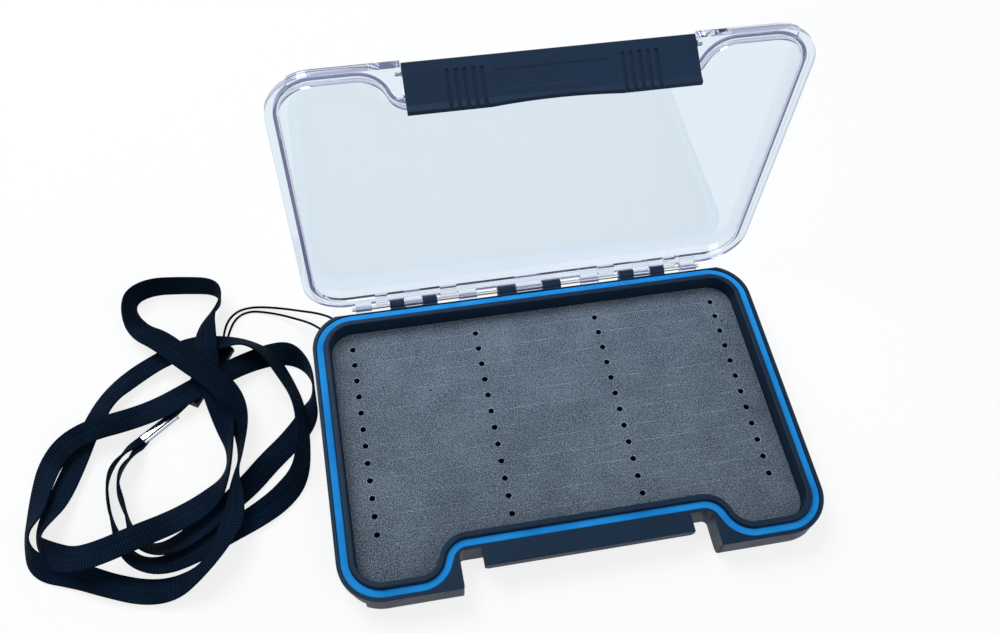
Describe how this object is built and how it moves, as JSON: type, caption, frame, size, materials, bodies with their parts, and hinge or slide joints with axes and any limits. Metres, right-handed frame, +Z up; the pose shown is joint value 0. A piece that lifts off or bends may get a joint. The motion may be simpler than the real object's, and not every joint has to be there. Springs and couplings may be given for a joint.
{
  "type": "fly box",
  "caption": "Slim fly box with a clear hinged lid, blue seal, drilled foam pad, full-width bar latch and a strap lanyard tied to its back corner.",
  "frame": {"origin": "centre of the tray's underside", "axes": "+X along the box to the right as seen from the latch, +Y towards the hinge, +Z up; the lid stands open on its stop"},
  "size_m": [0.3092, 0.1607, 0.1407],
  "materials": {
    "tray_plastic": "satin moulded black",
    "gasket_rubber": "satin blue",
    "film_adhesive": "matte",
    "foam": "fine closed-cell foam",
    "lid_clear": "clear gloss",
    "pin_steel": "drawn steel",
    "latch_plastic": "satin moulded black",
    "strap_webbing": "woven, matte",
    "crimp_metal": "bright plated",
    "connector_plastic": "moulded black",
    "cord_braid": "fine braid"
  },
  "bodies": {
    "tray": {"base_tray": "tray_plastic", "seal_gasket": "gasket_rubber", "foam_film": "film_adhesive", "foam_pad": "foam", "hinge_pin": "pin_steel", "lanyard_strap": "strap_webbing", "lanyard_crimp": "crimp_metal", "lanyard_connector": "connector_plastic", "lanyard_cord": "cord_braid"},
    "lid": {"lid_shell": "lid_clear", "latch_pin": "pin_steel"},
    "latch": {"latch_bar": "latch_plastic"}
  },
  "joints": [
    {"name": "lid_hinge", "type": "hinge", "parent": "tray", "child": "lid", "pos_m": [0, 0.0655, 0.0112], "axis": [1, 0, 0], "range_deg": [0, 91]},
    {"name": "latch_hinge", "type": "hinge", "parent": "lid", "child": "latch", "pos_m": [0, 0.0701, 0.13724], "axis": [-1, 0, 0], "range_deg": [0, 85]}
  ]
}
